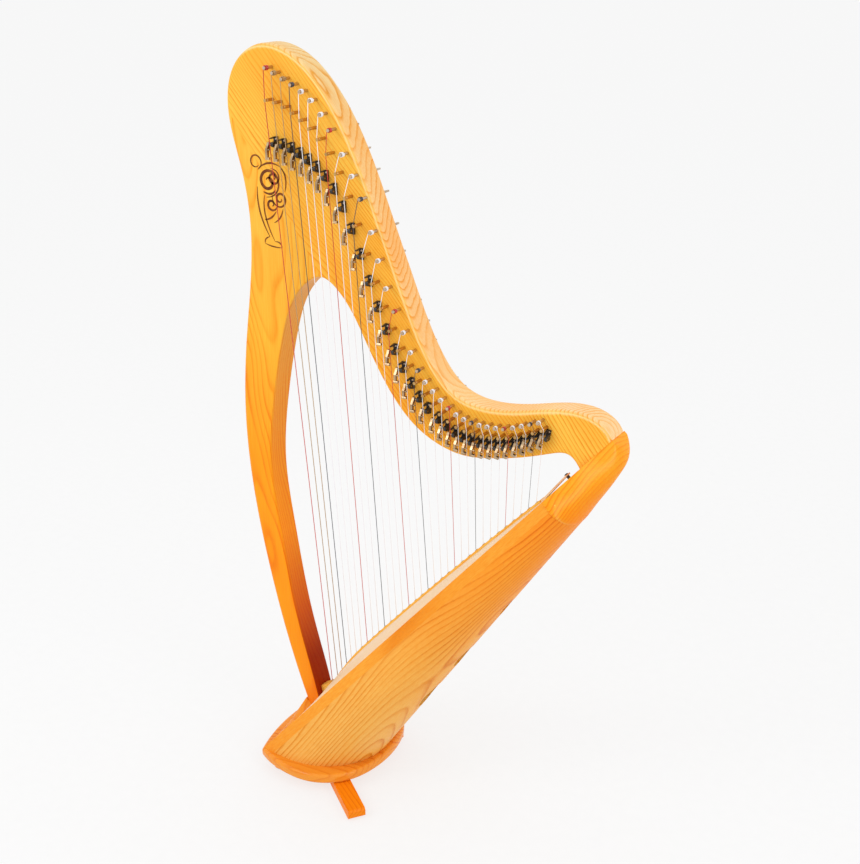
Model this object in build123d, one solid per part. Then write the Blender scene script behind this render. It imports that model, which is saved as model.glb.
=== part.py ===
from build123d import *
import math
import os

# Floor-standing lever harp, 33 strings. Millimetres, +Z up, +X towards the player's shoulder.
# The strings, pins and levers are on the -Y side of the neck. The floor is z = 0.
# Everything is drawn with the mid-plane at y = 0; save() then moves it by FOOTPRINT_SHIFT.

# ---- Driving dimensions -------------------------------------------------------------------------

STRING_COUNT = 33

# The near foot bar reaches further out than anything on the far side: this centres the whole.
FOOTPRINT_SHIFT = (-1.76, 14.65)

# Feet and base plate
PAD_HEIGHT = 3.0
BAR_HEIGHT = 20.0
BAR_WIDTH = 36.0
PLATE_THICKNESS = 22.0
PLATE_BOTTOM = PAD_HEIGHT + BAR_HEIGHT
PLATE_TOP = PLATE_BOTTOM + PLATE_THICKNESS
PLATE_SIDE = [(-324, 133), (-290, 148), (-248, 157), (-214, 159), (-161, 146), (-114, 105), (-92, 48)]
PLATE_REAR_X = -87.0
PLATE_NOSE_X = -347.0
FRONT_FOOT = (-287, 119)
BAR_TURN = 37.0
BAR_LENGTH = 234.0
NEAR_BAR_END = (-49, -174)
FAR_BAR_END = (-125, 116)

# Soundboard plane: it rises from the front edge of the base plate towards the player's shoulder
BOARD_FOOT_X = -320.0
BOARD_ANGLE = math.radians(49.4)
BOARD_LENGTH = 925.0
BOARD_THICKNESS = 4.0
BOARD_BELLY = 20.0
HALF_WIDTH_FOOT = 131.0
HALF_WIDTH_TOP = 58.0

# Soundbox shell, shoulder block and bracing
DEPTH_FOOT = 184.6
DEPTH_TOP = 71.0
SHELL_WALL = 5.0
RAIL_BOTTOM = -22.0
RAIL_WIDTH = 14.0
LINER_BOTTOM = -36.0
HOOP_DEPTH = 12.0
HOOPS = (430, 590, 780)
BASE_BLOCK_HEIGHT = 33.0
SOUND_HOLES = ((360, 84, 56), (498, 68, 48), (665, 46, 34))
SHOULDER = ((925, 58, 71), (962, 52, 65.8), (1000, 43.5, 60), (1030, 34, 54.8),
            (1055, 27.5, 49.5), (1075, 26, 43), (1088, 26, 33), (1096.5, 26, 16))

# Neck and column
NECK_THICKNESS = 52.0
NECK_FACE_Y = -NECK_THICKNESS / 2
OUTER_ROUND = 9.0
INNER_ROUND = 4.0
HEEL_S = 84.0
HEEL_T = 23.0
COLUMN_INNER_S = 113.0
NECK_SEAT_START = 1008.0
NECK_SEAT_END = 1098.0
JOINT_LOW = (-190, 1058)
JOINT_HIGH = (-401, 1360)
OUTER_LINE = [(-326, 253), (-368, 417), (-404, 632), (-410, 764), (-397, 920), (-375, 1070), (-371, 1160),
              (-386, 1262), (-409, 1370), (-389, 1447), (-325, 1487), (-258, 1475), (-186, 1415), (-124, 1316),
              (-79, 1211), (-19, 1064), (32, 958), (88, 899), (150, 886), (233, 898), (310, 914), (362, 908),
              (385, 893)]
INNER_LINE = [(331, 818), (315, 832), (280, 827), (220, 806), (160, 791), (107, 784), (54, 793), (-3, 823),
              (-59, 884), (-109, 968), (-165, 1052), (-205, 1075), (-248, 1052), (-299, 950), (-332, 800),
              (-346, 655), (-331, 521), (-291, 300), (-261, 190)]

# Pins, strings and the rib they rise from
TUNING_PIN_RADIUS = 3.0
TUNING_PIN_FAR = 20.0
BRIDGE_PIN_RADIUS = 3.0
BRIDGE_PIN_DEPTH = 30.0
BRIDGE_GROOVE = 0.7
PIN_REACH = 24.0
STRING_Y = NECK_FACE_Y - 20.0
STRING_RADIUS_BASS = 0.75
STRING_RADIUS_TREBLE = 0.36
STRING_GAP = 0.12
FIRST_RIGHT_STRING = 19
SEMITONE = 1 - 2 ** (-1 / 12)
RIB_WIDTH = 21.0
RIB_HEIGHT = 4.0
RIB_END_S = 889.0
TAIL_STUD_S = 964.0
TAIL_LIFT = 6.5
INNER_RIB_START_S = 140.0
INNER_RIB_HEIGHT = 7.0
FIRST_STRING_S = 156.0
LAST_STRING_S = 876.0
GROMMET_RADIUS = 2.5
GROMMET_BORE = 1.3
FLANGE_RADIUS = 3.6
FLANGE_HEIGHT = 0.9
BRIDGE_LINE = [(-310, 1391), (-298, 1392), (-264, 1384), (-225, 1364), (-184, 1331), (-148, 1275), (-111, 1185),
               (-74, 1083), (-35, 996), (-2, 938), (32, 894), (66, 866), (101, 848), (135, 842), (170, 842),
               (204, 848), (239, 861), (272, 877), (290, 886)]
TUNING_LINE = [(-297, 1448), (-260, 1431), (-201, 1398), (-162, 1350), (-117, 1274), (-78, 1179), (-48, 1081),
               (-12, 1005), (30, 924), (66, 892), (99, 870), (131, 861), (163, 860), (198, 864), (231, 876),
               (264, 889)]
TUNING_PIN_X = (-297, -280, -260, -241, -221, -201, -180, -162, -137, -117, -99, -78, -64, -48, -30, -12, 3,
                19, 34, 50, 67, 83, 99, 115, 131, 147, 163, 180, 197, 214, 231, 248, 264)
RED_STRINGS = (0, 7, 14, 21, 28)
BLACK_STRINGS = (3, 10, 17, 24, 31)
WOUND_STRINGS = (1, 2)

# Lever mechanism, in the frame of its own string: x across, o out towards the player, v up the string
LEVER_SWING = 105.0
PIVOT_OUT = -3.5
CAM_ORBIT = 11.7
CAM_RADIUS = 1.3
CAM_ENGAGED = math.radians(60)
CAM_CONTACT_V = CAM_ORBIT * math.sin(CAM_ENGAGED)
ARM_LEFT = -6.8
ARM_RIGHT = -2.3
PIVOT_RADIUS = 1.4
RUNNING_FIT = 0.08
EAR_LEFT = 2.4
EAR_RIGHT = 7.4

FAR = 2000.0


# ---- Frames and small helpers -------------------------------------------------------------------

BOARD_ALONG = Vector(math.cos(BOARD_ANGLE), 0, math.sin(BOARD_ANGLE))
BOARD_FRONT = Vector(-math.sin(BOARD_ANGLE), 0, math.cos(BOARD_ANGLE))


def on_board(s, t=0.0, y=0.0):
    """The point s up the soundboard from its foot, t in front of its plane, y across."""
    return Vector(BOARD_FOOT_X, y, PLATE_TOP) + BOARD_ALONG * s + BOARD_FRONT * t


def board_section(s):
    """The plane across the soundbox at s: its x runs across, its y out of the soundboard."""
    return Plane(origin=on_board(s), x_dir=(0, 1, 0), z_dir=BOARD_ALONG)


def half_width(s):
    return HALF_WIDTH_FOOT + (HALF_WIDTH_TOP - HALF_WIDTH_FOOT) * s / BOARD_LENGTH


def depth(s):
    return DEPTH_FOOT + (DEPTH_TOP - DEPTH_FOOT) * s / BOARD_LENGTH


def belly(s):
    """How far string tension has drawn the middle of the soundboard forward."""
    rise = min(max((s - 80) / 215, 0), 1)
    fall = min(max((s - 330) / (BOARD_LENGTH - 330), 0), 1)
    return 0.3 + BOARD_BELLY * rise * rise * (3 - 2 * rise) * (1 - fall**1.8)


def side_profile(*edges, half_thickness):
    """A closed outline in the mid-plane, given a thickness across it."""
    return extrude(make_face(Wire(edges)), amount=half_thickness, dir=(0, 1, 0), both=True)


def in_mid_plane(points):
    return [(x, 0, z) for x, z in points]


def above_board(t):
    """Everything in front of the plane t before the soundboard."""
    plane = Plane(origin=on_board(BOARD_LENGTH / 2, t), x_dir=(0, 1, 0), z_dir=BOARD_FRONT)
    return plane * Box(FAR, FAR * 2, FAR, align=(Align.CENTER, Align.CENTER, Align.MIN))


def between(s_low, s_high):
    """The slab across the soundbox from s_low to s_high."""
    slab = Box(FAR, FAR, s_high - s_low, align=(Align.CENTER, Align.CENTER, Align.MIN))
    return board_section(s_low) * slab


def level_slab(z_low, z_high):
    slab = Box(FAR, FAR, z_high - z_low, align=(Align.CENTER, Align.CENTER, Align.MIN))
    return Pos(0, 0, z_low) * slab


def height_at(line, x):
    """The height of a mid-plane line at x, which rises in x all along it."""
    low, high = 0.0, 1.0
    for _ in range(40):
        middle = (low + high) / 2
        if (line @ middle).X < x:
            low = middle
        else:
            high = middle
    return (line @ low).Z


def run(points, radii):
    """A path of straight runs with a tangent arc at each inner point."""
    edges = []
    start = points[0]
    for before, corner, after, radius in zip(points, points[1:], points[2:], radii):
        back = (before - corner).normalized()
        on = (after - corner).normalized()
        half = math.acos(max(-1, min(1, back.dot(on)))) / 2
        reach = radius / math.tan(half)
        middle = (back + on).normalized() * (radius / math.sin(half) - radius)
        edges.append(Line(start, corner + back * reach))
        edges.append(ThreePointArc(corner + back * reach, corner + middle, corner + on * reach))
        start = corner + on * reach
    edges.append(Line(start, points[-1]))
    return edges


def save(name, solids):
    """Writes one named sub-part: a solid, or a group of separate solids."""
    solids = list(solids) if isinstance(solids, (list, tuple)) else [solids]
    solids = [Pos(*FOOTPRINT_SHIFT, 0) * solid for solid in solids]
    shape = Compound(children=solids) if len(solids) > 1 else solids[0]
    export_step(shape, os.path.join("parts", name + ".step"))


# ---- Base ---------------------------------------------------------------------------------------


def base_plate():
    near_side = [(x, -y) for x, y in PLATE_SIDE]
    rim = Spline(*PLATE_SIDE, (PLATE_REAR_X, 0), *reversed(near_side))
    nose = ThreePointArc(near_side[0], (PLATE_NOSE_X, 0), PLATE_SIDE[0])
    plate = extrude(make_face([rim, nose]), amount=PLATE_THICKNESS)
    plate = fillet(plate.edges().group_by(Axis.Z)[-1], radius=7)
    plate = fillet(plate.edges().group_by(Axis.Z)[0], radius=7)
    return Pos(0, 0, PLATE_BOTTOM) * plate


def along_bar(end, side, back):
    """A point on a foot bar's centre line, back from its outer end; side is -1 near, 1 far."""
    turn = math.radians(BAR_TURN)
    return end[0] - back * math.cos(turn), end[1] - side * back * math.sin(turn)


def foot_bars():
    """Two splayed bars and two turned buttons, under the plate. The far bar is set further in."""
    bar = Box(BAR_LENGTH, BAR_WIDTH, BAR_HEIGHT, align=(Align.MAX, Align.CENTER, Align.MIN))
    bar = chamfer(bar.edges().filter_by(Axis.Y).sort_by(Axis.X)[-2:], length=4)
    feet = []
    for side, (x, y) in ((-1, NEAR_BAR_END), (1, FAR_BAR_END)):
        feet.append(Pos(x, y, PAD_HEIGHT) * (Rot(0, 0, side * BAR_TURN) * bar))
    button = Cylinder(13, BAR_HEIGHT, align=(Align.CENTER, Align.CENTER, Align.MIN))
    button = fillet(button.edges().group_by(Axis.Z)[0], radius=3)
    x, y = FRONT_FOOT
    return feet + [Pos(x, side * y, PAD_HEIGHT) * button for side in (-1, 1)]


def pad_places():
    x, y = FRONT_FOOT
    return [(x, -y), (x, y), along_bar(NEAR_BAR_END, -1, 18), along_bar(FAR_BAR_END, 1, 14)]


def foot_pads():
    pad = Cylinder(9, PAD_HEIGHT, align=(Align.CENTER, Align.CENTER, Align.MIN))
    pad = fillet(pad.edges().group_by(Axis.Z)[0], radius=0.8)
    return [Pos(x, y, 0) * pad for x, y in pad_places()]


def base_screws():
    """Countersunk screws up through the foot bars into the plate."""
    shank = Cylinder(2.2, 32, align=(Align.CENTER, Align.CENTER, Align.MIN))
    head = Cone(4.5, 2.2, 3, align=(Align.CENTER, Align.CENTER, Align.MIN))
    screw = shank + head
    places = [along_bar(NEAR_BAR_END, -1, back) for back in (110, 205)]
    places += [along_bar(FAR_BAR_END, 1, back) for back in (45, 150)]
    return [Pos(x, y, PAD_HEIGHT) * screw for x, y in places]


# ---- Soundbox -----------------------------------------------------------------------------------


def shell_face(s, width, deep, inset=0.0):
    """The D-shaped section of the soundbox: near-straight cheeks and a half-ellipse back."""
    bulge = 0.065 * min(max((width - NECK_THICKNESS / 2) / 30, 0.02), 1)
    wide = width * (1 + bulge) - inset
    top = width - inset
    drop = 0.35 * deep
    slope = (wide - top) / drop * 2
    near = Spline((top, 0), (wide, -drop), tangents=((slope, -1), (0, -1)))
    back = EllipticalCenterArc((0, -drop), wide, deep - inset - drop, start_angle=180, arc_size=180)
    far = Spline((-wide, -drop), (-top, 0), tangents=((0, 1), (slope, 1)))
    lid = Line((-top, 0), (top, 0))
    return board_section(s) * make_face([near, back, far, lid])


def soundbox_solid(inset):
    """The soundbox as one closed cone, drawn in by inset, from the plate to the shoulder seam."""
    cone = loft([shell_face(s, half_width(s), depth(s), inset) for s in (-30, BOARD_LENGTH)])
    return cone & level_slab(PLATE_TOP, FAR)


def board_slice(s, low, high, flat_low=False, flat_high=False):
    """A section of the arched soundboard, or of the space on one side of it."""
    width = half_width(s)
    rise = belly(s)
    if flat_high:
        top = Line((width, high), (-width, high))
    else:
        top = ThreePointArc((width, high), (0, high + rise), (-width, high))
    if flat_low:
        bottom = Line((-width, low), (width, low))
    else:
        bottom = ThreePointArc((-width, low), (0, low + rise), (width, low))
    left = Line((-width, high), (-width, low))
    right = Line((width, low), (width, high))
    return board_section(s) * make_face([top, left, bottom, right])


BOARD_STATIONS = (-30, 60, 120, 180, 240, 300, 400, 520, 640, 760, 860, BOARD_LENGTH)


def arched_loft(low, high, flat_low=False, flat_high=False):
    return loft([board_slice(s, low, high, flat_low, flat_high) for s in BOARD_STATIONS])


def string_foot(number):
    """How far up the soundboard a string leaves it."""
    step = (LAST_STRING_S - FIRST_STRING_S) / (STRING_COUNT - 1)
    return FIRST_STRING_S + step * number


def grommet_holes():
    """Holes square through the rib, board and inner rib, one for each string."""
    drill = Cylinder(GROMMET_RADIUS, 160)
    return [board_section(string_foot(i)) * (Rot(90, 0, 0) * drill) for i in range(STRING_COUNT)]


def rib_top(s):
    """The front of the string rib, easing into a wedge that fills the corner at the column."""
    plain = belly(s) + RIB_HEIGHT
    wedge = 19 - (s - 134) * 0.3 - plain
    return plain + (wedge + math.sqrt(wedge * wedge + 9)) / 2


def rib_bottom(s):
    """The back of the inner rib."""
    return belly(s) - BOARD_THICKNESS - INNER_RIB_HEIGHT


def middle_band(front, back, s_low, s_high):
    """A strip along the middle of the soundboard between two heights, each a function of s."""
    steps = [s_low + (s_high - s_low) * k / 28 for k in range(29)]
    front_line = Spline(*[on_board(s, front(s)) for s in steps])
    back_line = Spline(*[on_board(s, back(s)) for s in reversed(steps)])
    top = Line(front_line @ 1, back_line @ 0)
    foot = Line(back_line @ 1, front_line @ 0)
    return side_profile(front_line, top, back_line, foot, half_thickness=RIB_WIDTH / 2)


def sound_hole_cutters():
    """Upright ovals through the back of the shell, on its centre line."""
    holes = []
    for s, length, width in SOUND_HOLES:
        plane = Plane(origin=on_board(s, -40), x_dir=BOARD_ALONG, z_dir=-BOARD_FRONT)
        holes.append(plane * extrude(Ellipse(length / 2, width / 2), amount=300))
    return holes


def toe_block():
    """The wedge in front of the soundboard's foot that carries the column."""
    x = BOARD_FOOT_X
    z = PLATE_TOP
    corners = [(x, 128, z), (x, -128, z)]
    nose = ThreePointArc(corners[1], (x - 5, 0, z), corners[0])
    low = [Line(corners[0], corners[1]), nose.trim(0, 0.3), nose.trim(0.3, 0.7), nose.trim(0.7, 1)]
    half = NECK_THICKNESS / 2
    foot = [on_board(HEEL_S, 0, half), on_board(HEEL_S, 0, -half)]
    heel = [on_board(HEEL_S, HEEL_T, -half), on_board(HEEL_S, HEEL_T, half)]
    high = [Line(foot[0], foot[1]), Line(foot[1], heel[0]), Line(heel[0], heel[1]), Line(heel[1], foot[0])]
    return loft([make_face(Wire(high)), make_face(Wire(low))], ruled=True)


def shoulder_block():
    """The solid block at the top of the soundbox, under the neck's seat."""
    return loft([shell_face(s, width, deep) for s, width, deep in SHOULDER])


# ---- Neck and column ----------------------------------------------------------------------------


def outer_line():
    """From the heel up the back of the column, over the head, and along the top of the neck to its seat."""
    return Spline(on_board(HEEL_S, HEEL_T), *in_mid_plane(OUTER_LINE), on_board(NECK_SEAT_END))


def inner_line():
    """From the front of the neck's seat along its underside and down the front of the column."""
    low_end = on_board(COLUMN_INNER_S - 9, -12)
    return Spline(on_board(NECK_SEAT_START), *in_mid_plane(INNER_LINE), low_end)


def harmonic_frame():
    """Neck and column in one outline, square-edged."""
    outer = outer_line()
    inner = inner_line()
    low_heel = on_board(HEEL_S, -12)
    seat = Line(outer @ 1, inner @ 0)
    sole = Line(inner @ 1, low_heel)
    heel = Line(low_heel, outer @ 0)
    return side_profile(outer, seat, inner, sole, heel, half_thickness=NECK_THICKNESS / 2)


def eased(solid, line, radius):
    """Rounds the two rims of the neck or column that follow a line."""
    rims = []
    for edge in solid.edges().filter_by(GeomType.BSPLINE):
        middle = edge @ 0.5
        on_face = abs(abs(middle.Y) - NECK_THICKNESS / 2) < 0.1
        if on_face and line.distance_to(Vector(middle.X, 0, middle.Z)) < 0.5:
            rims.append(edge)
    return fillet(rims, radius=radius)


def column_side():
    """Everything on the column's side of the scarf joint between neck and column."""
    (x0, z0), (x1, z1) = JOINT_LOW, JOINT_HIGH
    past = (x0 + (x1 - x0) * 1.5, z0 + (z1 - z0) * 1.5)
    outline = Polyline(*in_mid_plane([(x0, z0), past, (-700, past[1]), (-700, 0), (x0, 0)]), close=True)
    return side_profile(*outline.edges(), half_thickness=NECK_THICKNESS)


# ---- Strings, pins and levers -------------------------------------------------------------------


def string_radius(number):
    share = number / (STRING_COUNT - 1)
    return STRING_RADIUS_BASS + (STRING_RADIUS_TREBLE - STRING_RADIUS_BASS) * share


def bridge_pin_place(number):
    x = -298 + 19.0 * number - 0.0373 * number * number
    return Vector(x, STRING_Y, height_at(BRIDGE_CURVE, x))


def tuning_pin_place(number):
    x = TUNING_PIN_X[number]
    return Vector(x, STRING_Y, height_at(TUNING_CURVE, x))


def string_root(number):
    """Where the string comes out of its grommet."""
    s = string_foot(number)
    return on_board(s, rib_top(s) + FLANGE_HEIGHT + 0.8)


def string_end(number):
    """Where the string's knot closes, behind the inner rib."""
    s = string_foot(number)
    return on_board(s, rib_bottom(s) - 5)


def string_corner(number):
    """The corner the string turns at its bridge pin: left of the pin in the bass, right in the treble."""
    pin = bridge_pin_place(number)
    up = tuning_pin_place(number) - pin
    down = string_root(number) - pin
    up = Vector(up.X, 0, up.Z).normalized()
    down = Vector(down.X, 0, down.Z).normalized()
    along = (up - down).normalized()
    side = -1 if number < FIRST_RIGHT_STRING else 1
    half = math.acos(max(-1, min(1, up.dot(down)))) / 2
    radius = BRIDGE_PIN_RADIUS - BRIDGE_GROOVE + string_radius(number) + STRING_GAP
    return pin + Vector(along.Z, 0, -along.X) * (side * radius / math.sin(half)), radius


def string_path(number):
    """Round the tuning pin, down past the bridge pin, and through the grommet to the knot."""
    corner, radius = string_corner(number)
    pin = tuning_pin_place(number)
    coil = TUNING_PIN_RADIUS + string_radius(number) + STRING_GAP
    span = corner - pin
    distance = math.hypot(span.X, span.Z)
    bearing = math.atan2(span.Z, span.X)
    side = 1 if number < FIRST_RIGHT_STRING else -1
    leave = bearing - side * math.acos(coil / distance)

    def round_pin(angle):
        return pin + Vector(math.cos(angle), 0, math.sin(angle)) * coil

    start = leave - side * math.radians(290)
    wrap = ThreePointArc(round_pin(start), round_pin((start + leave) / 2), round_pin(leave))
    points = [round_pin(leave), corner, string_root(number), string_end(number)]
    return [wrap, *run(points, (radius, 3.0))]


def make_string(number):
    path = Wire(string_path(number))
    start = Plane(origin=path @ 0, z_dir=path % 0)
    return sweep(start * Circle(string_radius(number)), path=path)


def tuning_pins():
    """Through the neck: a round end for the string, a tapered square end for the key."""
    pins = []
    for i in range(STRING_COUNT):
        place = tuning_pin_place(i)
        length = PIN_REACH + NECK_THICKNESS + 4
        body = Cylinder(TUNING_PIN_RADIUS, length, align=(Align.CENTER, Align.CENTER, Align.MIN))
        body = chamfer(body.edges().group_by(Axis.Z)[0], length=0.5)
        side = TUNING_PIN_RADIUS * 1.3
        tip = Pos(0, 0, TUNING_PIN_FAR - 4) * Rectangle(side * 0.8, side * 0.8)
        root = Rectangle(side, side)
        square = Pos(0, 0, PIN_REACH + NECK_THICKNESS + 4) * loft([root, tip])
        pin = Pos(place.X, NECK_FACE_Y - PIN_REACH, place.Z) * (Rot(-90, 0, 0) * (body + square))
        pins.append(pin)
    return pins


def bridge_pins():
    """Grooved where the string bears on them."""
    pins = []
    for i in range(STRING_COUNT):
        place = bridge_pin_place(i)
        r = BRIDGE_PIN_RADIUS
        seat = STRING_Y - (NECK_FACE_Y - PIN_REACH)
        waist = r - BRIDGE_GROOVE
        length = PIN_REACH + BRIDGE_PIN_DEPTH
        half = 2.2
        profile = Polyline((0, 0), (r - 0.4, 0), (r, 0.4), (r, seat - half), (waist, seat - 1.2),
                           (waist, seat + 1.2), (r, seat + half), (r, length), (0, length), close=True)
        turned = revolve(make_face(profile), axis=Axis.Y)
        pins.append(Pos(place.X, NECK_FACE_Y - PIN_REACH, place.Z) * turned)
    return pins


def grommet_bodies():
    """Flanged sleeves, still solid: they also cut their own seats in the rib, board and inner rib."""
    bodies = []
    for i in range(STRING_COUNT):
        s = string_foot(i)
        high = rib_top(s)
        low = rib_bottom(s) - 0.5
        sleeve = Cylinder(GROMMET_RADIUS, high - low, align=(Align.CENTER, Align.CENTER, Align.MIN))
        flange = Cylinder(FLANGE_RADIUS, FLANGE_HEIGHT + 0.5, align=(Align.CENTER, Align.CENTER, Align.MIN))
        body = Pos(0, 0, low) * sleeve + Pos(0, 0, high - 0.5) * flange
        bodies.append(Plane(origin=on_board(s), x_dir=(0, 1, 0), z_dir=BOARD_FRONT) * body)
    return bodies


def grommets(bodies):
    sleeves = []
    for i, body in enumerate(bodies):
        plane = Plane(origin=on_board(string_foot(i)), x_dir=(0, 1, 0), z_dir=BOARD_FRONT)
        sleeves.append(body - plane * Cylinder(GROMMET_BORE, 200))
    return sleeves


def string_knots():
    """A toggle behind the inner rib that each string is tied round."""
    knots = []
    for i in range(STRING_COUNT):
        s = string_foot(i)
        knot = Cylinder(3.4, 3.6, align=(Align.CENTER, Align.CENTER, Align.MAX))
        knot = fillet(knot.edges().filter_by(GeomType.CIRCLE), radius=1.0)
        knot = knot - Cylinder(string_radius(i) + 0.02, 20)
        plane = Plane(origin=on_board(s, rib_bottom(s) - 0.5), x_dir=(0, 1, 0), z_dir=BOARD_FRONT)
        knots.append(plane * knot)
    return knots


def lever_frame(number):
    """Origin on the string at the lever's hinge: x across, y up the string, z out to the player."""
    corner, radius = string_corner(number)
    root = string_root(number)
    up = (corner - root).normalized()
    length = (corner - root).length
    out = Vector(0, -1, 0)
    out = (out - up * out.dot(up)).normalized()
    contact = corner - up * (SEMITONE * length)
    origin = contact - up * CAM_CONTACT_V
    return Plane(origin=origin, x_dir=up.cross(out), z_dir=out)


def lever_size(number):
    """How big a lever is against the largest."""
    return 1 - 0.3 * number / (STRING_COUNT - 1)


def rod_across(x0, x1, radius, v, o):
    """A rod along the lever frame's x."""
    rod = Cylinder(radius, x1 - x0, align=(Align.CENTER, Align.CENTER, Align.MIN))
    return Pos(x0, v, o) * (Rot(0, 90, 0) * rod)


def slab_across(x0, x1, outline):
    """A (v, o) outline in the lever frame, given a thickness along x."""
    plane = Plane(origin=(x0, 0, 0), x_dir=(0, 1, 0), z_dir=(1, 0, 0))
    return plane * extrude(make_face(Polyline(*outline, close=True)), amount=x1 - x0)


def lever_arm(number):
    """The arm: a blade left of the string, a cam rod that crosses it, and a flared ridged thumb tab."""
    size = lever_size(number)
    rest = CAM_ENGAGED - math.radians(LEVER_SWING)
    cam_o = PIVOT_OUT + CAM_ORBIT * math.cos(rest)
    cam_v = CAM_ORBIT * math.sin(rest)
    tail = -26 * size
    outline = [(4.6, -4.5), (4.0, -1.2), (-1.5, 2.2), (cam_v + 1.5, cam_o + 2.2), (tail + 4.2, 8.2),
               (tail, 9.0),
               (tail, 5.0), (tail + 4.2, 3.4), (cam_v - 2.5, 1.4), (-3.4, -4.5)]
    blade = slab_across(ARM_LEFT, ARM_RIGHT, outline)
    hub = rod_across(ARM_LEFT, ARM_RIGHT, 3.6, 0, PIVOT_OUT)
    cam = rod_across(ARM_RIGHT - 1, 2.0, CAM_RADIUS, cam_v, cam_o)
    tab = slab_across(-7.3, 1.8, [(tail, 5.0), (tail, 9.0), (tail + 1.0, 8.6), (tail + 1.6, 9.0),
                                  (tail + 2.6, 8.4), (tail + 3.2, 8.8), (tail + 4.4, 8.0), (tail + 4.4, 4.0)])
    arm = blade + hub + cam + tab - rod_across(-9, 0, PIVOT_RADIUS + RUNNING_FIT, 0, PIVOT_OUT)
    return lever_frame(number) * arm


def lever_base(number, cutters):
    """The black block right of the string: an ear for the hinge, a foot, and the fret behind the string."""
    corner, radius = string_corner(number)
    span = corner - string_root(number)
    lean = -span.Y / math.hypot(span.X, span.Z)
    pin_v = CAM_CONTACT_V + SEMITONE * span.length + STRING_Y * 0.38 * lean
    end = min(12.2, pin_v - BRIDGE_PIN_RADIUS - 1.3)
    ear = slab_across(EAR_LEFT, EAR_RIGHT, [(-9, -24), (-9, -14), (-4, -0.6), (-2, 0.3), (2, 0.3), (4, -0.6),
                                            (5, -12), (5, -24)])
    foot = slab_across(-1.6, EAR_RIGHT, [(-9, -24), (-9, -14), (end, -14), (end, -24)])
    fret = slab_across(-1.6, EAR_LEFT, [(end - 3, -15), (end - 2.3, -1.3), (end - 1, -1.3), (end, -15)])
    base = ear + foot + fret
    base = base - rod_across(0, 9, PIVOT_RADIUS, 0, PIVOT_OUT)
    half_space = Box(FAR * 2, FAR, FAR * 2, align=(Align.CENTER, Align.MIN, Align.CENTER))
    neck_side_of_face = Pos(0, NECK_FACE_Y, 0) * half_space
    return lever_frame(number) * base - neck_side_of_face - cutters


def lever_pivot(number):
    shank = rod_across(ARM_LEFT - 0.2, EAR_RIGHT + 0.5, PIVOT_RADIUS, 0, PIVOT_OUT)
    head = rod_across(ARM_LEFT - 0.8, ARM_LEFT - RUNNING_FIT, 2.3, 0, PIVOT_OUT)
    return lever_frame(number) * (shank + head)


def lever_screw(number):
    """Holds the lever's base on the neck."""
    head = Cylinder(2.0, 1.3, align=(Align.CENTER, Align.CENTER, Align.MIN))
    head = fillet(head.edges().group_by(Axis.Z)[-1], radius=0.5)
    head = head - Pos(0, 0, 1.3) * Box(4.2, 0.5, 0.8)
    shank = Cylinder(1.0, 12, align=(Align.CENTER, Align.CENTER, Align.MAX))
    return lever_frame(number) * (Pos(4.9, 8.4, -14) * (head + shank))


def rib_tail_bar():
    """The pale strip that runs from the end of the rib onto the shoulder block, lifting as it goes."""
    foot = on_board(RIB_END_S + 1, 0.8)
    end = on_board(TAIL_STUD_S + 3, TAIL_LIFT)
    face = Polyline(foot, end, end + BOARD_FRONT * 2.6, foot + BOARD_FRONT * 4.2, close=True)
    return side_profile(*face.edges(), half_thickness=8)


def tail_stud():
    """The black stud that holds the strip's upper end off the block."""
    shank = Pos(0, 0, -12) * Cylinder(2, 12 + TAIL_LIFT + 3, align=(Align.CENTER, Align.CENTER, Align.MIN))
    head = Pos(0, 0, TAIL_LIFT + 2.7) * Cylinder(3.6, 1.8, align=(Align.CENTER, Align.CENTER, Align.MIN))
    head = fillet(head.edges().group_by(Axis.Z)[-1], radius=0.8)
    post = Cylinder(3.2, TAIL_LIFT - 0.2, align=(Align.CENTER, Align.CENTER, Align.MIN))
    return Plane(origin=on_board(TAIL_STUD_S), x_dir=(0, 1, 0), z_dir=BOARD_FRONT) * (shank + head + post)


# ---- The whole harp -----------------------------------------------------------------------------

BRIDGE_CURVE = Spline(*in_mid_plane(BRIDGE_LINE))
TUNING_CURVE = Spline(*in_mid_plane(TUNING_LINE))


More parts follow.
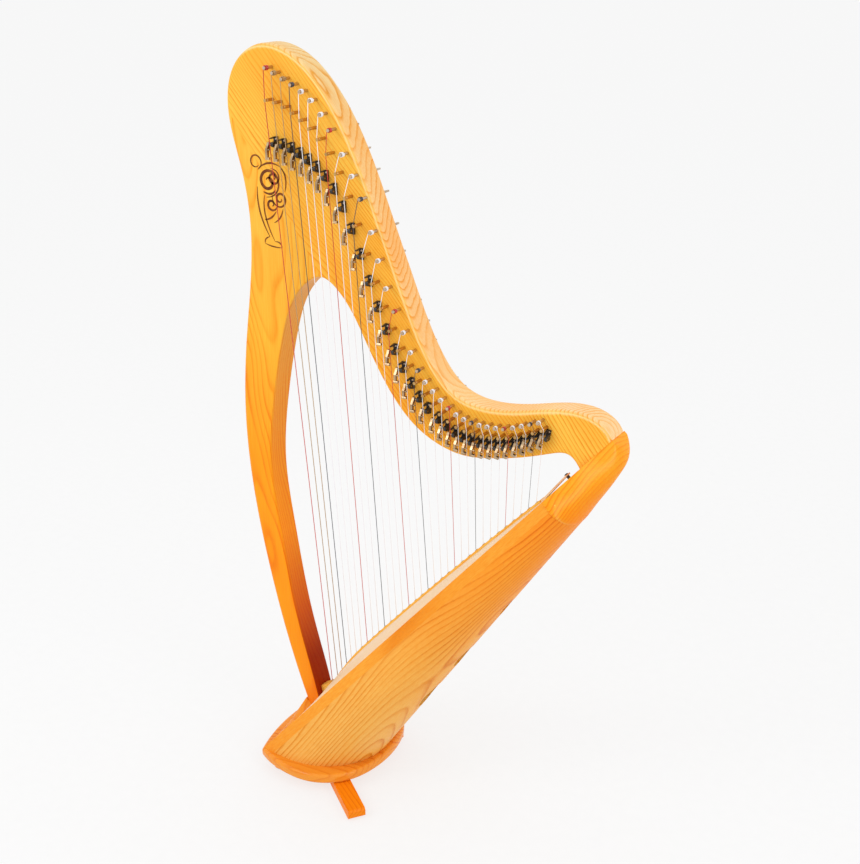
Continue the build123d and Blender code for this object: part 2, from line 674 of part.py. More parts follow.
def main():
    os.makedirs("parts", exist_ok=True)

    # Base
    screws = base_screws()
    save("base_plate", base_plate() - screws)
    bars = [bar - screws for bar in foot_bars()]
    save("foot_bars", bars)
    save("foot_pads", foot_pads())

    # Soundbox
    behind = arched_loft(-80, 0, flat_low=True)
    before = arched_loft(-BOARD_THICKNESS, 80, flat_high=True)
    sleeves = grommet_bodies()
    box = soundbox_solid(0)
    box_inside = soundbox_solid(SHELL_WALL)
    box_core = soundbox_solid(RAIL_WIDTH)
    shell = (box - box_inside) - above_board(RAIL_BOTTOM) - sound_hole_cutters()
    save("soundbox_shell", shell)
    rails = ((box - box_core) & above_board(RAIL_BOTTOM)) - before
    save("side_rails", rails.solids())
    liners = (box_inside - box_core) - above_board(RAIL_BOTTOM)
    liners = liners & above_board(LINER_BOTTOM)
    hoop_core = soundbox_solid(SHELL_WALL + HOOP_DEPTH)
    hoop_ring = (box_inside - hoop_core) - above_board(RAIL_BOTTOM)
    bracing = liners
    for s in HOOPS:
        bracing = bracing + (hoop_ring & between(s - 6, s + 6))
    base_block = (box_inside & level_slab(PLATE_TOP, PLATE_TOP + BASE_BLOCK_HEIGHT)) - before - rails - bracing
    save("soundbox_bracing", bracing.solids())
    save("base_block", base_block)
    board = (arched_loft(-BOARD_THICKNESS, 0) & level_slab(PLATE_TOP, FAR)) - sleeves
    save("soundboard", board)
    inner_rib = middle_band(lambda s: belly(s), rib_bottom, INNER_RIB_START_S, RIB_END_S) - before - sleeves
    save("inner_rib", inner_rib)
    stud = tail_stud()
    save("tail_stud", stud)
    save("rib_tail_bar", rib_tail_bar() - behind - stud)
    save("shoulder_block", shoulder_block() - stud)
    save("toe_block", toe_block() - behind - board)

    # Neck and column
    frame = harmonic_frame()
    pins = tuning_pins()
    bridges = bridge_pins()
    lever_screws = [lever_screw(i) for i in range(STRING_COUNT)]
    neck = eased(frame - column_side(), outer_line(), OUTER_ROUND)
    neck = eased(neck, inner_line(), INNER_ROUND) - (pins + bridges + lever_screws)
    save("neck", neck)
    column = eased(frame & column_side(), outer_line(), OUTER_ROUND)
    column = eased(column, inner_line(), INNER_ROUND) - behind
    save("column", column)
    rib = middle_band(rib_top, lambda s: -20, COLUMN_INNER_S - 9, RIB_END_S) - behind - column - sleeves
    save("string_rib", rib)

    # Pins, strings and levers
    save("tuning_pins", pins)
    save("bridge_pins", bridges)
    save("grommets", grommets(sleeves))
    save("string_knots", string_knots())
    save("wood_screws", screws + lever_screws)
    save("strings_red", [make_string(i) for i in RED_STRINGS])
    save("strings_black", [make_string(i) for i in BLACK_STRINGS])
    save("strings_wound", [make_string(i) for i in WOUND_STRINGS])
    coloured = RED_STRINGS + BLACK_STRINGS + WOUND_STRINGS
    save("strings_clear", [make_string(i) for i in range(STRING_COUNT) if i not in coloured])
    save("lever_bases", [lever_base(i, lever_screws[i]) for i in range(STRING_COUNT)])
    save("lever_pivots", [lever_pivot(i) for i in range(STRING_COUNT)])
    for i in range(STRING_COUNT):
        save(f"lever_{i + 1:02d}", lever_arm(i))


if __name__ == "__main__":
    main()
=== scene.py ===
import math

import bmesh
import bpy
from mathutils import Matrix, Vector


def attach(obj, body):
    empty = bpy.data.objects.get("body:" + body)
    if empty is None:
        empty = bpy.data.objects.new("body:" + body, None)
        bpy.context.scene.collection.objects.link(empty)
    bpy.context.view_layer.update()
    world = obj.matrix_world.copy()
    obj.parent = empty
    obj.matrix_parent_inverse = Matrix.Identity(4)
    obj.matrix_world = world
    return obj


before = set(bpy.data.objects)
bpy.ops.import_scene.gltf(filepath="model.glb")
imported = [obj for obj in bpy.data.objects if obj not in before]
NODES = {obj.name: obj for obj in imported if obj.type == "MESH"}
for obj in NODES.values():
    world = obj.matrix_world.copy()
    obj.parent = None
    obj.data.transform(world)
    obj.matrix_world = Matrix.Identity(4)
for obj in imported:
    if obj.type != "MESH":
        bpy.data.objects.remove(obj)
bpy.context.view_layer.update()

HARP = "harp"

# ---- Camera: a three-quarter view from the player's side, a little above the head ---------------

CAMERA_PLACE = Vector((1.1482, -1.8284, 1.690))
CAMERA_RIGHT = Vector((0.8520, 0.5235, 0.0))
CAMERA_UP = Vector((-0.1985, 0.3230, 0.9253))
CAMERA_BACK = Vector((0.4844, -0.7884, 0.3791))

camera_data = bpy.data.cameras.new("camera")
camera_data.sensor_width = 36.0
camera_data.lens = 52.08
camera_data.clip_start = 0.05
camera_data.clip_end = 60.0
camera = bpy.data.objects.new("camera", camera_data)
bpy.context.collection.objects.link(camera)
camera.matrix_world = Matrix.Translation(CAMERA_PLACE) @ Matrix(
    (CAMERA_RIGHT, CAMERA_UP, CAMERA_BACK)).transposed().to_4x4()
bpy.context.scene.camera = camera
bpy.context.scene.view_settings.view_transform = "Standard"


# ---- Node helpers -------------------------------------------------------------------------------


class Material:
    """A material and short ways to add nodes to it."""

    def __init__(self, name):
        self.material = bpy.data.materials.new(name)
        self.material.use_nodes = True
        self.tree = self.material.node_tree
        self.shader = self.tree.nodes["Principled BSDF"]

    def add(self, kind, **settings):
        node = self.tree.nodes.new(kind)
        for key, value in settings.items():
            setattr(node, key, value)
        return node

    def link(self, value, socket):
        if isinstance(value, bpy.types.NodeSocket):
            self.tree.links.new(value, socket)
        else:
            socket.default_value = value

    def math(self, operation, a, b=0.0):
        node = self.add("ShaderNodeMath", operation=operation)
        self.link(a, node.inputs[0])
        self.link(b, node.inputs[1])
        return node.outputs[0]

    def dot(self, vector, direction):
        node = self.add("ShaderNodeVectorMath", operation="DOT_PRODUCT")
        self.link(vector, node.inputs[0])
        node.inputs[1].default_value = direction
        return node.outputs["Value"]

    def join(self, x, y, z):
        node = self.add("ShaderNodeCombineXYZ")
        for value, socket in zip((x, y, z), node.inputs):
            self.link(value, socket)
        return node.outputs[0]

    def noise(self, vector, scale, detail=3.0, roughness=0.55):
        node = self.add("ShaderNodeTexNoise")
        self.link(vector, node.inputs["Vector"])
        node.inputs["Scale"].default_value = scale
        node.inputs["Detail"].default_value = detail
        node.inputs["Roughness"].default_value = roughness
        return node.outputs["Fac"]

    def ramp(self, value, stops, interpolation="LINEAR"):
        node = self.add("ShaderNodeValToRGB")
        node.color_ramp.interpolation = interpolation
        elements = node.color_ramp.elements
        while len(elements) < len(stops):
            elements.new(0.5)
        for element, (position, colour) in zip(elements, stops):
            element.position = position
            element.color = (*colour, 1.0) if isinstance(colour, tuple) else (colour, colour, colour, 1.0)
        self.link(value, node.inputs[0])
        return node.outputs["Color"]

    def mix(self, factor, a, b, blend="MIX"):
        node = self.add("ShaderNodeMix", data_type="RGBA", blend_type=blend)
        self.link(factor, node.inputs[0])
        self.link(a if isinstance(a, bpy.types.NodeSocket) else (*a, 1.0), node.inputs[6])
        self.link(b if isinstance(b, bpy.types.NodeSocket) else (*b, 1.0), node.inputs[7])
        return node.outputs[2]

    def place(self):
        return self.add("ShaderNodeTexCoord").outputs["Object"]

    def bump(self, height, strength, distance):
        node = self.add("ShaderNodeBump")
        node.inputs["Strength"].default_value = strength
        node.inputs["Distance"].default_value = distance
        self.link(height, node.inputs["Height"])
        self.tree.links.new(node.outputs[0], self.shader.inputs["Normal"])

    def set(self, **values):
        for key, value in values.items():
            self.link(value, self.shader.inputs[key.replace("_", " ")])


def linear(red, green, blue):
    """An sRGB colour, 0 to 255, as linear numbers."""
    return tuple(((c / 255 + 0.055) / 1.055) ** 2.4 if c > 10 else c / 3300 for c in (red, green, blue))


def finish(name, material):
    """Gives a CAD node its material in every slot."""
    slots = NODES[name].data.materials
    if not slots:
        slots.append(material)
    for index in range(len(slots)):
        slots[index] = material


# ---- Wood ---------------------------------------------------------------------------------------

TALL = 1.5  # metres that a ramp of tints over the height covers
LEAN_X = -0.25  # where a leaning ramp has the same height as an upright one
BOARD_ALONG = Vector((0.6508, 0.0, 0.7593))
BOARD_FRONT = Vector((-0.7593, 0.0, 0.6508))
ACROSS = Vector((0.0, 1.0, 0.0))


def wood(name, light, mid, dark, along, side, deep, rings=70.0, tilt=0.10, wander=0.02, fibre=0.35,
         pores=0.35, heart=(0.0, 0.0), gloss=0.38, coat=0.06, contrast=1.0, shade=0.25, loops=0.0,
         loop_scale=(2.0, 7.0), height=None, light_by_facing=None, crests=0.25, glint_strength=0.0, lean=0.0):
    """Ring-porous wood, cut so that the rings run out of the face as long arches.

    along, side and deep are the tree's axis and the two directions across it; heart is where the
    tree's centre lies in (side, deep); tilt is how fast the cut leaves it along the grain. loops is
    how many rings the figure wanders by. height is a ramp of tints over z, which lean tips towards
    +x. light_by_facing is a direction and a ramp of tints, over z, for the faces turned that way:
    painted light and shade. glint_strength is how strong a painted highlight is along the
    roundover into those faces. crests, fibre, pores and shade are how dark the ring crests, the
    threads, the pores and the broad patches are.
    """
    m = Material(name)
    place = m.place()
    a = m.dot(place, along)
    s = m.dot(place, side)
    d = m.dot(place, deep)
    up = m.math("MULTIPLY", m.math("ADD", m.dot(place, (lean, 0.0, 1.0)), -LEAN_X * lean), 1 / TALL)

    def stretched(lengthwise, crosswise, detail, roughness=0.55):
        vector = m.join(m.math("MULTIPLY", a, lengthwise), m.math("MULTIPLY", s, crosswise),
                        m.math("MULTIPLY", d, crosswise))
        return m.noise(vector, 1.0, detail, roughness)

    drift = m.math("MULTIPLY", m.math("SUBTRACT", stretched(1.6, 4.0, 2.0), 0.5), wander * 6)
    ripple = m.math("MULTIPLY", m.math("SUBTRACT", stretched(12.0, 45.0, 3.0), 0.5), wander * 0.35)
    off_side = m.math("ADD", m.math("SUBTRACT", s, heart[0]), ripple)
    slope = m.math("MULTIPLY", a, tilt)
    off_deep = m.math("ADD", m.math("ADD", m.math("SUBTRACT", d, heart[1]), slope), drift)
    squares = m.math("ADD", m.math("MULTIPLY", off_side, off_side), m.math("MULTIPLY", off_deep, off_deep))
    phase = m.math("MULTIPLY", m.math("SQRT", squares), rings)
    if loops:
        phase = m.math("ADD", phase, m.math("MULTIPLY", stretched(*loop_scale, 0.0), loops))
    ring = m.math("FRACT", phase)
    band = m.ramp(ring, ((0.0, 0.04), (0.55, 0.22), (0.84, 1.0), (0.92, 0.30), (1.0, 0.04)))
    strength = m.ramp(stretched(3.0, 16.0, 2.0), ((0.30, 0.35), (0.62, 1.0)))
    band = m.math("MULTIPLY", band, strength)
    thread = m.ramp(stretched(9.0, 700.0, 4.0, 0.6), ((0.3, 0.0), (0.7, 1.0)))
    pore = m.ramp(stretched(60.0, 1300.0, 2.0, 0.5), ((0.56, 0.0), (0.68, 1.0)))
    pore = m.math("MULTIPLY", pore, m.ramp(band, ((0.2, 0.2), (0.8, 1.0))))
    patch = m.ramp(stretched(3.0, 9.0, 2.0), ((0.3, 0.0), (0.7, 1.0)))
    colour = m.mix(m.math("MULTIPLY", band, 0.95 * contrast), light, mid)
    crest = m.math("MULTIPLY", m.math("MULTIPLY", band, band), crests)
    colour = m.mix(crest, colour, dark)
    colour = m.mix(m.math("MULTIPLY", thread, fibre * contrast), colour, mid)
    colour = m.mix(m.math("MULTIPLY", patch, shade), colour, mid)
    colour = m.mix(m.math("MULTIPLY", pore, pores), colour, dark)
    if height:
        colour = m.mix(1.0, colour, m.ramp(up, height), "MULTIPLY")
    # Faces turned the given way get a ramp of tints over z: painted light and shade
    if light_by_facing:
        direction, tints = light_by_facing
        turned = m.dot(m.add("ShaderNodeTexCoord").outputs["Normal"], direction)
        facing = m.ramp(turned, ((0.40, 0.0), (0.70, 1.0)))
        z = m.math("MULTIPLY", m.dot(place, (0.0, 0.0, 1.0)), 1 / TALL)
        tint = m.mix(1.0, colour, m.ramp(z, tints), "MULTIPLY")
        colour = m.mix(facing, colour, tint)
        # A painted highlight along the roundover into those faces
        wear_and_glint = m.ramp(turned, ((0.10, 0.0), (0.28, 1.0), (0.50, 0.0)))
        colour = m.mix(m.math("MULTIPLY", wear_and_glint, glint_strength), colour, GLINT)
    m.set(Base_Color=colour, Coat_Weight=coat, Coat_Roughness=0.12, Specular_IOR_Level=0.3, IOR=1.22)
    m.set(Roughness=m.math("ADD", gloss, m.math("MULTIPLY", thread, 0.12)))
    hollows = m.math("ADD", pore, m.math("MULTIPLY", thread, 0.2))
    relief = m.math("SUBTRACT", m.math("MULTIPLY", band, 0.25), hollows)
    m.bump(relief, 0.22, 0.0006)
    return m.material


LAMP_SHARE = 0.93


def under(red, green, blue):
    """The base colour that comes out as the given sRGB colour under these lamps."""
    return tuple(LAMP_SHARE * value for value in linear(red, green, blue))


# The pale cream of the painted highlight on roundovers
GLINT = under(255, 226, 160)
GOLD = under(255, 215, 104)
GOLD_MID = under(253, 154, 28)
GOLD_DARK = under(200, 92, 8)
ORANGE = under(255, 182, 66)
ORANGE_MID = under(243, 134, 14)
ORANGE_DARK = under(176, 72, 2)
TOE = under(250, 164, 52)
TOE_MID = under(232, 120, 14)
PALE = under(250, 222, 184)
PALE_MID = under(238, 192, 136)
PALE_DARK = under(200, 142, 80)

NECK_ALONG = Vector((0.66, 0.0, -0.75)).normalized()
NECK_SIDE = Vector((0.75, 0.0, 0.66)).normalized()
UP = Vector((0.0, 0.0, 1.0))
RIGHT = Vector((1.0, 0.0, 0.0))

FRAME_TINTS = ((0.20, (1.0, 0.58, 0.05)), (0.45, (1.0, 0.66, 0.10)), (0.62, (1.0, 0.84, 0.35)),
               (0.80, (1.0, 0.98, 0.70)), (0.98, (1.0, 1.02, 0.80)))
# The neck's faces turned up and to the right, made paler over its height: painted light
NECK_TOP_LIGHT_TINTS = ((0.45, (1.0, 1.30, 6.0)), (0.62, (0.98, 1.26, 5.4)), (0.75, (0.98, 1.10, 3.8)),
              (0.88, (0.95, 1.08, 3.4)), (0.97, (0.90, 1.22, 4.6)))
# The shoulder block's faces turned to +x: painted shade, deeper orange lower down, and a painted highlight
# near the top
SHOULDER_LIGHT_TINTS = ((0.48, (1.0, 0.80, 0.4)), (0.58, (1.0, 0.88, 0.7)), (0.62, (1.0, 1.12, 3.2)))
# The column's inner face: painted shade that darkens it towards the foot, and painted light that pales it
# higher up
INNER_FACE_SHADE_AND_LIGHT = ((0.15, (0.36, 0.10, 0.2)), (0.22, (0.66, 0.36, 0.4)), (0.34, (1.0, 0.92, 0.9)),
               (0.60, (0.88, 0.84, 1.5)), (0.76, (0.80, 0.84, 2.4)))
# Over the shell's height: paler towards the bottom, a painted reflection of the pale floor and backdrop, and
# deeper orange towards the top
SHELL_REFLECTION_TINTS = ((0.10, (0.97, 1.22, 2.6)), (0.24, (0.98, 1.10, 1.8)), (0.40, (1.0, 0.88, 0.7)),
               (0.62, (1.0, 0.60, 0.08)))

# The neck: painted light on its faces turned up and to the right, and a painted highlight along their
# roundover
neck_wood = wood("neck_wood", GOLD, GOLD_MID, GOLD_DARK, NECK_ALONG, NECK_SIDE, ACROSS,
                 rings=170, tilt=0.04, heart=(0.05, 0.30), fibre=0.5, loops=8.0,
                 loop_scale=(2.2, 9.0), height=FRAME_TINTS, light_by_facing=(Vector((0.62, 0.0, 0.78)), NECK_TOP_LIGHT_TINTS),
                 crests=0.4, glint_strength=0.75, lean=0.65, shade=0.5)
# The column: painted shade and light on its inner face, by height
column_wood = wood("column_wood", GOLD, GOLD_MID, GOLD_DARK, UP, RIGHT, ACROSS,
                   rings=120, tilt=0.05, heart=(-0.34, 0.22), fibre=0.5, loops=6.0,
                   loop_scale=(1.4, 12.0), height=FRAME_TINTS, light_by_facing=(RIGHT, INNER_FACE_SHADE_AND_LIGHT))
# The shoulder block: painted shade and a painted highlight on its faces turned to +x
shoulder_wood = wood("shoulder_wood", GOLD, GOLD_MID, GOLD_DARK, BOARD_ALONG, BOARD_FRONT, ACROSS,
                     rings=120, tilt=0.06, heart=(-0.03, 0.10), fibre=0.5, loops=6.0,
                     loop_scale=(2.2, 11.0), height=FRAME_TINTS, light_by_facing=(RIGHT, SHOULDER_LIGHT_TINTS), glint_strength=0.12)
# The shell: a painted reflection makes it paler towards the bottom
shell_wood = wood("shell_wood", ORANGE, ORANGE_MID, ORANGE_DARK, BOARD_ALONG, BOARD_FRONT, ACROSS,
                  rings=80, tilt=0.03, wander=0.015, heart=(-0.085, 0.02), contrast=1.05, loops=13.0,
                  loop_scale=(1.6, 9.0), height=SHELL_REFLECTION_TINTS, crests=0.45, fibre=0.5, pores=0.5)
toe_wood = wood("toe_wood", TOE, TOE_MID, ORANGE_DARK, BOARD_ALONG, BOARD_FRONT, ACROSS,
                rings=80, tilt=0.12, heart=(-0.03, 0.10), loops=6.0, pores=0.55)
rail_wood = wood("rail_wood", ORANGE, ORANGE_MID, ORANGE_DARK, BOARD_ALONG, BOARD_FRONT, ACROSS,
                 rings=20, tilt=0.004, wander=0.003, heart=(0.2, 0.1), fibre=0.85, contrast=0.9)
board_wood = wood("board_wood", PALE, PALE_MID, PALE_DARK, BOARD_ALONG, BOARD_FRONT, ACROSS,
                  rings=420, tilt=0.01, wander=0.006, heart=(2.0, 0.0), fibre=0.3, pores=0.12, contrast=0.6,
                  shade=0.12)
rib_wood = wood("rib_wood", GOLD, GOLD_MID, GOLD_DARK, BOARD_ALONG, BOARD_FRONT, ACROSS,
                rings=260, tilt=0.02, wander=0.006, heart=(0.4, 0.1), contrast=0.9)
pale_wood = wood("pale_wood", PALE, PALE_MID, PALE_DARK, BOARD_ALONG, BOARD_FRONT, ACROSS,
                 rings=200, heart=(0.3, 0.1), contrast=0.7)
base_wood = wood("base_wood", TOE, TOE_MID, ORANGE_DARK, RIGHT, ACROSS, UP,
                 rings=110, tilt=0.08, heart=(0.0, -0.10), gloss=0.25, coat=0.35, loops=4.0)
foot_wood = wood("foot_wood", under(255, 146, 14), under(240, 118, 6), ORANGE_DARK, Vector((0.8, -0.6, 0.0)),
                 Vector((0.6, 0.8, 0.0)), UP, rings=150, tilt=0.05, wander=0.01, heart=(0.0, -0.10))
raw_wood = wood("raw_wood", PALE_MID, PALE_DARK, linear(140, 90, 48), BOARD_ALONG, BOARD_FRONT, ACROSS,
                rings=150, heart=(0.1, 0.1), coat=0.0, gloss=0.6)

for node, material in (
        ("neck", neck_wood), ("column", column_wood), ("toe_block", toe_wood), ("base_plate", base_wood),
        ("soundbox_shell", shell_wood), ("soundboard", board_wood), ("string_rib", rib_wood),
        ("inner_rib", raw_wood), ("side_rails", rail_wood), ("soundbox_bracing", raw_wood),
        ("base_block", raw_wood), ("shoulder_block", shoulder_wood), ("foot_bars", foot_wood),
        ("rib_tail_bar", pale_wood)):
    finish(node, material)


# ---- Metals, plastics and strings ---------------------------------------------------------------


TURNING_SCALE = 600.0


def metal(name, bright, wear_and_glint, roughness):
    """Turned and plated metal: fine turning marks, and duller patches where it is handled."""
    m = Material(name)
    place = m.place()
    marks = m.noise(place, TURNING_SCALE, 4.0, 0.6)
    patch = m.ramp(m.noise(place, TURNING_SCALE * 0.12, 3.0), ((0.4, 0.0), (0.65, 1.0)))
    m.set(Base_Color=m.mix(m.math("MULTIPLY", patch, 0.55), bright, wear_and_glint), Metallic=1.0)
    rough = m.math("ADD", roughness, m.math("MULTIPLY", patch, 0.18))
    m.set(Roughness=m.math("ADD", rough, m.math("MULTIPLY", marks, 0.08)))
    m.bump(marks, 0.08, 0.0002)
    return m.material


def plastic(name, light, dark, roughness):
    """Moulded plastic or rubber with a fine leathery surface."""
    m = Material(name)
    place = m.place()
    speckle = m.noise(place, 900.0, 4.0, 0.6)
    patch = m.noise(place, 60.0, 3.0)
    m.set(Base_Color=m.mix(patch, light, dark))
    m.set(Roughness=m.math("ADD", roughness, m.math("MULTIPLY", speckle, 0.15)))
    m.bump(speckle, 0.12, 0.0002)
    return m.material


def nylon(name, light, dark):
    """Monofilament: nearly even, with slow tonal changes along it."""
    m = Material(name)
    place = m.place()
    tone = m.noise(place, 25.0, 2.0)
    fine = m.noise(place, 1500.0, 2.0)
    m.set(Base_Color=m.mix(tone, light, dark), Coat_Weight=0.4)
    m.set(Roughness=m.math("ADD", 0.22, m.math("MULTIPLY", fine, 0.12)))
    m.bump(fine, 0.05, 0.0001)
    return m.material


TURNS_PER_METRE = 1800.0


def wound_wire(name, bright, dark):
    """Close-wound bronze: the turns show as fine ridges across the string."""
    m = Material(name)
    place = m.place()
    height = m.dot(place, (0.06, 0.0, 0.998))
    turn = m.math("FRACT", m.math("MULTIPLY", height, TURNS_PER_METRE))
    ridge = m.ramp(turn, ((0.0, 0.0), (0.5, 1.0), (1.0, 0.0)), "EASE")
    tone = m.noise(place, 90.0, 3.0)
    colour = m.mix(tone, bright, dark)
    # The grooves between the turns are painted darker: painted shade
    m.set(Base_Color=m.mix(m.math("SUBTRACT", 1.0, ridge), colour, dark), Metallic=1.0)
    m.set(Roughness=m.math("ADD", 0.3, m.math("MULTIPLY", tone, 0.15)))
    m.bump(ridge, 0.5, 0.0003)
    return m.material


nickel = metal("nickel", (0.52, 0.37, 0.22), (0.15, 0.08, 0.035), 0.18)
steel = metal("steel", (0.62, 0.50, 0.38), (0.38, 0.25, 0.14), 0.22)
brass = metal("brass", (0.60, 0.38, 0.15), (0.34, 0.18, 0.06), 0.24)
black_plastic = plastic("black_plastic", (0.012, 0.011, 0.011), (0.03, 0.026, 0.022), 0.32)
rubber = plastic("rubber", (0.02, 0.02, 0.02), (0.035, 0.035, 0.033), 0.7)
red_nylon = nylon("red_nylon", (0.66, 0.03, 0.02), (0.46, 0.02, 0.015))
black_nylon = nylon("black_nylon", (0.02, 0.02, 0.03), (0.05, 0.05, 0.075))
clear_nylon = nylon("clear_nylon", (0.92, 0.91, 0.92), (0.80, 0.79, 0.84))
bronze = wound_wire("bronze", (0.82, 0.62, 0.36), (0.42, 0.26, 0.12))
toggle = plastic("toggle", (0.60, 0.50, 0.38), (0.45, 0.36, 0.26), 0.5)

for node, material in (
        ("foot_pads", rubber), ("wood_screws", steel), ("tuning_pins", steel), ("bridge_pins", brass),
        ("lever_bases", black_plastic), ("lever_pivots", nickel), ("strings_red", red_nylon),
        ("strings_black", black_nylon), ("strings_clear", clear_nylon), ("strings_wound", bronze),
        ("grommets", brass), ("string_knots", toggle), ("tail_stud", black_plastic)):
    finish(node, material)
for node in NODES:
    if node.startswith("lever_") and node[6:].isdigit():
        finish(node, nickel)


# ---- Pieces too fine for the CAD ----------------------------------------------------------------


def burnt_wood():
    """Scorched lines: almost black in the middle of a stroke, browner where the iron was lifted."""
    m = Material("burnt_wood")
    place = m.place()
    patch = m.noise(place, 70.0, 4.0)
    fine = m.noise(place, 900.0, 3.0)
    browner = m.ramp(patch, ((0.35, 0.0), (0.65, 1.0)))
    m.set(Base_Color=m.mix(browner, (0.10, 0.022, 0.004), (0.26, 0.075, 0.012)))
    m.set(Roughness=m.math("ADD", 0.45, m.math("MULTIPLY", fine, 0.2)), Specular_IOR_Level=0.2)
    m.bump(fine, 0.3, 0.0003)
    return m.material


def piece(name, shape, material):
    """A piece glued to the harp, of the material slot that its finish comes from."""
    data = bpy.data.meshes.new(name)
    bmesh.ops.recalc_face_normals(shape, faces=shape.faces)
    shape.to_mesh(data)
    shape.free()
    thing = bpy.data.objects.new(name, data)
    bpy.context.collection.objects.link(thing)
    data.materials.append(material)
    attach(thing, HARP)
    return thing


def spiral(centre, start_radius, end_radius, start, turns, steps=44):
    """Points from the open end of a scroll to its eye; angles in turns."""
    points = []
    for step in range(steps + 1):
        share = step / steps
        angle = 2 * math.pi * (start + turns * share)
        radius = start_radius + (end_radius - start_radius) * share ** 0.8
        points.append((centre[0] + radius * math.cos(angle), centre[1] + radius * math.sin(angle)))
    return points


def bend(first, pull, last, steps=18):
    """A quadratic curve."""
    points = []
    for step in range(steps + 1):
        t = step / steps
        weights = ((1 - t) ** 2, 2 * t * (1 - t), t * t)
        points.append(tuple(sum(w * p[k] for w, p in zip(weights, (first, pull, last))) for k in (0, 1)))
    return points


ORNAMENT_AT = (-317.8, 1214)  # x and z, in millimetres, as are the next three
COLUMN_FACE_Y = -11.35
ORNAMENT_LIFT = 0.35
ORNAMENT_SINK = 0.1


def stroke(shape, points, widest):
    """A flat ribbon on the column's face, swelling in the middle and pointed at its ends."""
    count = len(points)
    rows = []
    for index, (u, v) in enumerate(points):
        before = points[max(index - 1, 0)]
        after = points[min(index + 1, count - 1)]
        along = Vector((after[0] - before[0], after[1] - before[1])).normalized()
        half = widest / 2 * (0.12 + 0.88 * math.sin(math.pi * (index + 0.3) / (count - 0.4)) ** 0.7)
        row = []
        for side, out in ((-1, -ORNAMENT_SINK), (-1, ORNAMENT_LIFT), (1, ORNAMENT_LIFT), (1, -ORNAMENT_SINK)):
            x = ORNAMENT_AT[0] + u - along[1] * side * half
            z = ORNAMENT_AT[1] + v + along[0] * side * half
            row.append(shape.verts.new((x / 1000, (COLUMN_FACE_Y - out) / 1000, z / 1000)))
        rows.append(row)
    for first, second in zip(rows, rows[1:]):
        for k in range(4):
            shape.faces.new((first[k], first[(k + 1) % 4], second[(k + 1) % 4], second[k]))
    shape.faces.new(rows[0])
    shape.faces.new(list(reversed(rows[-1])))


def scroll_ornament():
    """A plain scroll burnt into the head of the column: five volutes, joined by curved stems."""
    shape = bmesh.new()
    volutes = ((spiral((-2, 28), 30, 5, -0.28, 1.7), 6.0), (spiral((10, 36), 17, 3, 0.30, -1.5), 4.6),
               (spiral((24, -2), 19, 3, 0.45, 1.6), 4.4), (spiral((-30, 62), 15, 9, -0.20, 1.1), 3.0),
               (spiral((4, -14), 15, 3, 0.10, -1.3), 4.6))
    stems = ((bend((-24, 50), (0, 70), (26, 58)), 3.6), (bend((26, 58), (46, 44), (36, 12)), 3.4),
             (bend((-28, 16), (-34, -30), (-4, -76)), 3.4), (bend((-12, 2), (-22, -34), (8, -84)), 3.0),
             (bend((14, -26), (2, -44), (-14, -44)), 3.6), (bend((30, -20), (26, -40), (8, -48)), 3.0),
             (bend((-4, -76), (-18, -80), (-16, -90)), 2.6), (bend((8, -84), (22, -82), (24, -94)), 2.6),
             (bend((-16, -90), (2, -96), (24, -94)), 2.4), (bend((-14, 8), (6, 0), (14, 14)), 4.4))
    for points, width in volutes + stems:
        stroke(shape, points, width)
    return piece("scroll_ornament", shape, burnt_wood())


def islands(thing):
    """The separate closed bodies of a node, each as a list of points."""
    shape = bmesh.new()
    shape.from_mesh(thing.data)
    # Vertices are split along sharp edges, so they are merged before bodies are told apart
    bmesh.ops.remove_doubles(shape, verts=shape.verts, dist=1e-5)
    shape.verts.index_update()
    shape.verts.ensure_lookup_table()
    left = set(range(len(shape.verts)))
    bodies = []
    while left:
        group = []
        waiting = [left.pop()]
        while waiting:
            vertex = shape.verts[waiting.pop()]
            group.append(thing.matrix_world @ vertex.co)
            for link in vertex.link_edges:
                other = link.other_vert(vertex).index
                if other in left:
                    left.discard(other)
                    waiting.append(other)
        bodies.append(group)
    shape.free()
    return bodies


# Turns of string on a tuning pin, in metres
PIN_RADIUS = 0.003
COIL_START = 0.0045  # from the tip of the pin
COIL_PITCH = 2.15  # in string radii
COIL_SIDES = 6
COIL_STEPS = 18  # to a turn
THICKEST = 0.00075  # the radius of string 1, and how much thinner the last one is
THINNER = 0.00039
LAST_NUMBER = 32

# String numbers, from 0
RED = (0, 7, 14, 21, 28)
BLACK = (3, 10, 17, 24, 31)
WOUND = (1, 2)


def coil(shape, tip, thread, turns):
    """String wound round a tuning pin, towards the neck. tip is on the pin's axis, thread a radius."""
    steps = int(turns * COIL_STEPS)
    rings = []
    for step in range(steps + 1):
        angle = 2 * math.pi * turns * step / steps
        out = Vector((math.cos(angle), 0.0, math.sin(angle)))
        along = COIL_START + thread * COIL_PITCH * angle / (2 * math.pi)
        middle = tip + out * (PIN_RADIUS + thread) + Vector((0.0, along, 0.0))
        ring = []
        for k in range(COIL_SIDES):
            turn = 2 * math.pi * k / COIL_SIDES
            ring.append(shape.verts.new(middle + thread * (out * math.cos(turn) + ACROSS * math.sin(turn))))
        rings.append(ring)
    for first, second in zip(rings, rings[1:]):
        for k in range(COIL_SIDES):
            after = (k + 1) % COIL_SIDES
            shape.faces.new((first[k], first[after], second[after], second[k]))
    shape.faces.new(rings[0])
    shape.faces.new(list(reversed(rings[-1])))


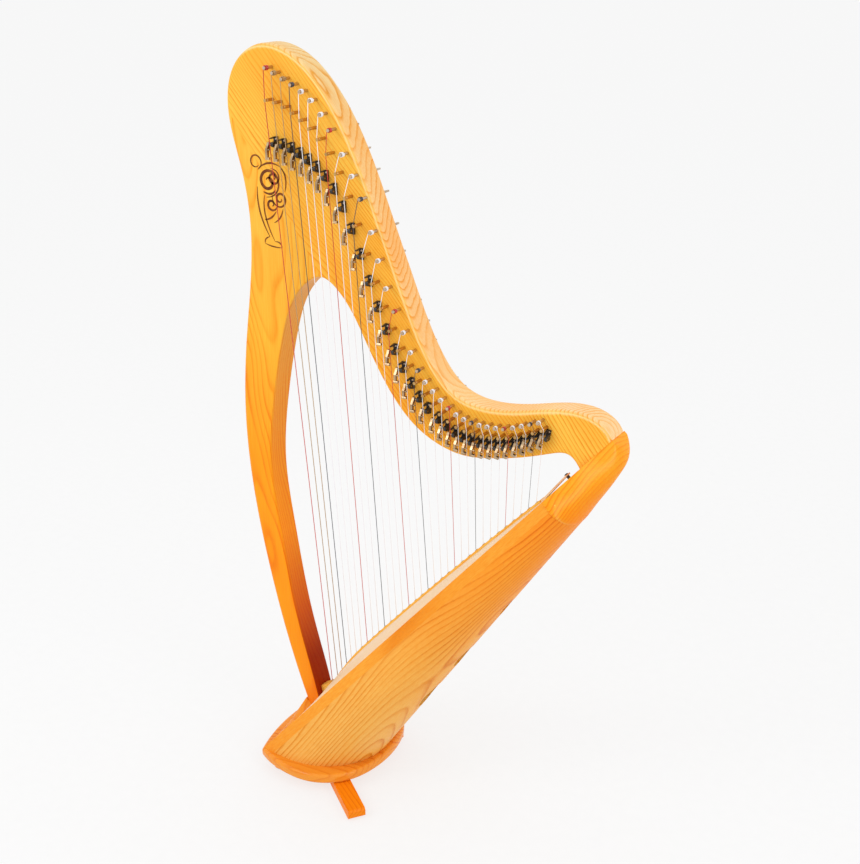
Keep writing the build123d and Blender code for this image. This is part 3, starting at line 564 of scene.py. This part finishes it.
def coils():
    """The turns on every pin, one piece for each kind of string."""
    tips = []
    for group in islands(NODES["tuning_pins"]):
        low = [min(point[k] for point in group) for k in range(3)]
        high = [max(point[k] for point in group) for k in range(3)]
        tips.append(((low[0] + high[0]) / 2, low[1], (low[2] + high[2]) / 2))
    tips.sort()
    clear = [number for number in range(len(tips)) if number not in RED + BLACK + WOUND]
    kinds = (("coils_red", RED, red_nylon), ("coils_black", BLACK, black_nylon),
             ("coils_wound", WOUND, bronze), ("coils_clear", clear, clear_nylon))
    for name, numbers, material in kinds:
        shape = bmesh.new()
        for number in numbers:
            thread = THICKEST - THINNER * number / LAST_NUMBER
            coil(shape, Vector(tips[number]), thread, 3.6 + 0.25 * (number % 3))
        piece(name, shape, material)


PLUG_SIGHT = Vector((0.308, -0.3, 0.749))  # in front of the block's face, level with the plug


def plug():
    """The small turned plug over the shoulder block's bolt."""
    _, place, normal, _ = NODES["shoulder_block"].ray_cast(PLUG_SIGHT, ACROSS)
    shape = bmesh.new()
    bmesh.ops.create_cone(shape, cap_ends=True, segments=32, radius1=0.0024, radius2=0.0020, depth=0.0010)
    turn = normal.to_track_quat("Z", "Y").to_matrix().to_4x4()
    bmesh.ops.transform(shape, matrix=Matrix.Translation(place) @ turn, verts=shape.verts)
    return piece("shoulder_plug", shape, rib_wood)


scroll_ornament()
coils()
plug()


# ---- Floor, backdrop and light ------------------------------------------------------------------


PAPER = 0.93
FLOOR_SIZE = 30.0


def stage_material():
    """Pale paper that partly glows, so that the floor runs evenly into the backdrop."""
    m = Material("paper")
    grain = m.noise(m.place(), 40.0, 2.0)
    m.set(Base_Color=m.mix(grain, (0.19, 0.19, 0.19), (0.21, 0.21, 0.21)), Roughness=0.9)
    m.set(Specular_IOR_Level=0.0, Emission_Color=(PAPER, PAPER, PAPER, 1.0), Emission_Strength=0.79)
    return m.material


floor_data = bpy.data.meshes.new("floor")
shape = bmesh.new()
bmesh.ops.create_grid(shape, x_segments=1, y_segments=1, size=FLOOR_SIZE)
shape.to_mesh(floor_data)
shape.free()
floor = bpy.data.objects.new("floor", floor_data)
bpy.context.collection.objects.link(floor)
floor_data.materials.append(stage_material())

world = bpy.data.worlds.new("world")
bpy.context.scene.world = world
world.use_nodes = True
backdrop = world.node_tree.nodes["Background"]
backdrop.inputs["Color"].default_value = (PAPER, PAPER, PAPER, 1.0)
backdrop.inputs["Strength"].default_value = 1.06


def softbox(name, place, aim, size, power):
    """A rectangular lamp, size in metres and power in watts."""
    data = bpy.data.lights.new(name, "AREA")
    data.shape = "RECTANGLE"
    data.size, data.size_y = size
    data.energy = power
    lamp = bpy.data.objects.new(name, data)
    bpy.context.collection.objects.link(lamp)
    lamp.location = place
    lamp.rotation_mode = "QUATERNION"
    lamp.rotation_quaternion = (Vector(aim) - Vector(place)).to_track_quat("-Z", "Y")


softbox("key_light", (-1.6, -2.6, 3.0), (0.0, 0.0, 0.8), (1.6, 1.6), 28.0)
softbox("side_light", (2.8, -0.6, 2.6), (0.0, 0.0, 0.8), (1.4, 1.8), 16.0)
